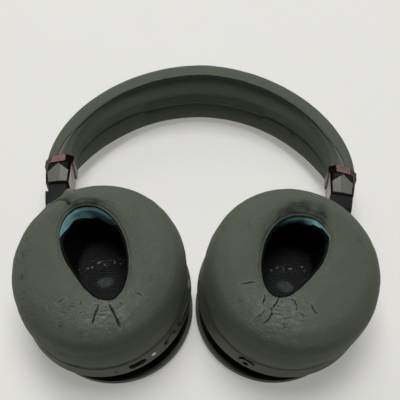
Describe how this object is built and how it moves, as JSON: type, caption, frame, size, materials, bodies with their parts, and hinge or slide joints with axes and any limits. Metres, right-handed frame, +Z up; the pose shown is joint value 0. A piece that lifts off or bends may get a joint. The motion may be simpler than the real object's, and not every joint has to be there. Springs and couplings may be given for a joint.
{
  "type": "over-ear headset",
  "caption": "Wireless over-ear headset lying folded flat, with a padded arched headband, sliding arms, swivelling cups on gimbals and thick leather ear pads.",
  "frame": {"origin": "centre of the footprint on the surface that the headset lies on, folded flat with its ear pads up", "axes": "+X towards the cup with the audio socket, which is the right one as worn, +Y from the cups towards the crown of the headband, +Z up from the surface"},
  "size_m": [0.1876, 0.1834, 0.0619],
  "materials": {
    "pad_leather": "grained and worn, olive green",
    "band_leather": "grained, olive green",
    "olive_plastic": "fine matte, olive green",
    "dark_plastic": "fine matte, dark olive",
    "black_plastic": "matte black",
    "bronze": "polished and anodised, brown bronze",
    "steel": "plain",
    "cable_jacket": "matte black",
    "film": "thin moulded film",
    "teal_fabric": "woven, blue green",
    "black_mesh": "open knitted mesh, black",
    "circuit_board": "solder mask, green",
    "battery_wrap": "foil pouch, grey",
    "white_plastic": "off white"
  },
  "bodies": {
    "band": {"band_cover": "band_leather", "band_cushion": "band_leather", "band_frame": "dark_plastic", "band_spring": "steel", "band_cable": "cable_jacket", "detent_springs": "steel", "slider_track_left": "dark_plastic", "slider_track_right": "dark_plastic", "collar_left": "bronze", "collar_right": "bronze", "end_block_left": "bronze", "end_block_right": "bronze", "block_cheeks_left": "olive_plastic", "block_cheeks_right": "olive_plastic"},
    "slider_left": {"slider_left": "olive_plastic", "swivel_clip_left": "steel"},
    "arm_left": {"arm_left": "olive_plastic", "outer_disc_left": "dark_plastic", "disc_screws_left": "steel"},
    "gimbal_left": {"gimbal_ring_left": "dark_plastic", "gimbal_pins_left": "steel"},
    "cup_left": {"back_cover_left": "dark_plastic", "housing_left": "olive_plastic", "baffle_left": "black_plastic", "cup_screws_left": "steel", "driver_basket_left": "black_plastic", "driver_magnet_left": "steel", "diaphragm_left": "film", "pad_ring_left": "black_plastic", "ear_mesh_left": "black_mesh", "ear_liner_left": "teal_fabric", "ear_pad_left": "pad_leather", "main_board": "circuit_board", "usb_c_port": "steel", "status_ring": "white_plastic", "microphones_left": "steel"},
    "slider_right": {"slider_right": "olive_plastic", "swivel_clip_right": "steel"},
    "arm_right": {"arm_right": "olive_plastic", "outer_disc_right": "dark_plastic", "disc_screws_right": "steel"},
    "gimbal_right": {"gimbal_ring_right": "dark_plastic", "gimbal_pins_right": "steel"},
    "cup_right": {"back_cover_right": "dark_plastic", "housing_right": "olive_plastic", "baffle_right": "black_plastic", "cup_screws_right": "steel", "driver_basket_right": "black_plastic", "driver_magnet_right": "steel", "diaphragm_right": "film", "pad_ring_right": "black_plastic", "ear_mesh_right": "black_mesh", "ear_liner_right": "teal_fabric", "ear_pad_right": "pad_leather", "battery": "battery_wrap", "side_board": "circuit_board", "jack_socket": "black_plastic"},
    "power_slider": {"power_slider": "black_plastic"},
    "push_button": {"push_button": "black_plastic"},
    "volume_rocker": {"volume_rocker": "black_plastic"}
  },
  "joints": [
    {"name": "slide_left", "type": "slide", "parent": "band", "child": "slider_left", "axis": [0, -1, 0], "range_m": [-0.0043, 0.0157]},
    {"name": "swivel_left", "type": "hinge", "parent": "slider_left", "child": "arm_left", "pos_m": [-0.0775, 0.00835, 0.019], "axis": [-0.1167, 0.9932, 0], "range_deg": [0, 100]},
    {"name": "tilt_left", "type": "hinge", "parent": "arm_left", "child": "gimbal_left", "pos_m": [-0.0453, -0.04465, 0.0105], "axis": [-0.1167, 0.9932, 0], "range_deg": [0, 10]},
    {"name": "nod_left", "type": "hinge", "parent": "gimbal_left", "child": "cup_left", "pos_m": [-0.0453, -0.04465, 0.0105], "axis": [-0.9835, -0.1155, -0.1392], "range_deg": [-4, 4]},
    {"name": "slide_right", "type": "slide", "parent": "band", "child": "slider_right", "axis": [0, -1, 0], "range_m": [0, 0.02]},
    {"name": "swivel_right", "type": "hinge", "parent": "slider_right", "child": "arm_right", "pos_m": [0.0775, 0.01265, 0.019], "axis": [-0.1167, -0.9932, 0], "range_deg": [0, 100]},
    {"name": "tilt_right", "type": "hinge", "parent": "arm_right", "child": "gimbal_right", "pos_m": [0.0453, -0.04035, 0.0105], "axis": [0.1167, 0.9932, 0], "range_deg": [-10, 0]},
    {"name": "nod_right", "type": "hinge", "parent": "gimbal_right", "child": "cup_right", "pos_m": [0.0453, -0.04035, 0.0105], "axis": [0.9835, -0.1155, -0.1392], "range_deg": [-4, 4]},
    {"name": "power_slide", "type": "slide", "parent": "cup_left", "child": "power_slider", "axis": [-0.5714, -0.8154, -0.0931], "range_m": [-0.0015, 0.0015]},
    {"name": "button_press", "type": "slide", "parent": "cup_left", "child": "push_button", "axis": [-0.9875, -0.0738, -0.1391], "range_m": [0, 0.0006], "stiffness_N_per_m": 800},
    {"name": "volume_rock", "type": "hinge", "parent": "cup_left", "child": "volume_rocker", "pos_m": [-0.00694, -0.05685, 0.02363], "axis": [-0.1382, -0.0162, 0.9903], "range_deg": [-3, 3], "stiffness_Nm_per_rad": 0.3}
  ]
}
